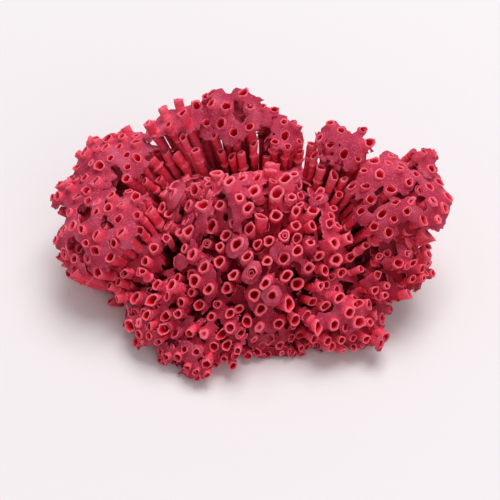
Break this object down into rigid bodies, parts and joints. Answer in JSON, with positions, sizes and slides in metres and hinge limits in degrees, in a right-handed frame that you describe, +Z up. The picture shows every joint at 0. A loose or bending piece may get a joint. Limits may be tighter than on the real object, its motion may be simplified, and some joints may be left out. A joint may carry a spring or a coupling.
{
  "type": "organ pipe coral",
  "caption": "Dry organ pipe coral: a spreading bundle of narrow red pipes with open ends, held apart by thin floors in separate lobes, cut flat underneath.",
  "frame": {"origin": "on the ground, under the middle of the bounding box", "axes": "+Z up, +X along the longest way across, to the right seen from the front, -Y towards the front"},
  "size_m": [0.0674, 0.0444, 0.0307],
  "materials": {
    "coral_calcite": "matt, chalky, deep crimson with paler pipe rims"
  },
  "bodies": {
    "root": {"main_mass": "coral_calcite", "back_lobe": "coral_calcite", "left_lobe": "coral_calcite", "right_lobe": "coral_calcite", "upper_left_lobe": "coral_calcite", "right_back_lobe": "coral_calcite", "back_left_lobe": "coral_calcite", "back_right_lobe": "coral_calcite", "front_left_lobe": "coral_calcite", "front_right_lobe": "coral_calcite", "left_front_lobe": "coral_calcite", "lower_right_lobe": "coral_calcite", "rear_left_lobe": "coral_calcite", "rear_right_lobe": "coral_calcite"}
  },
  "joints": []
}
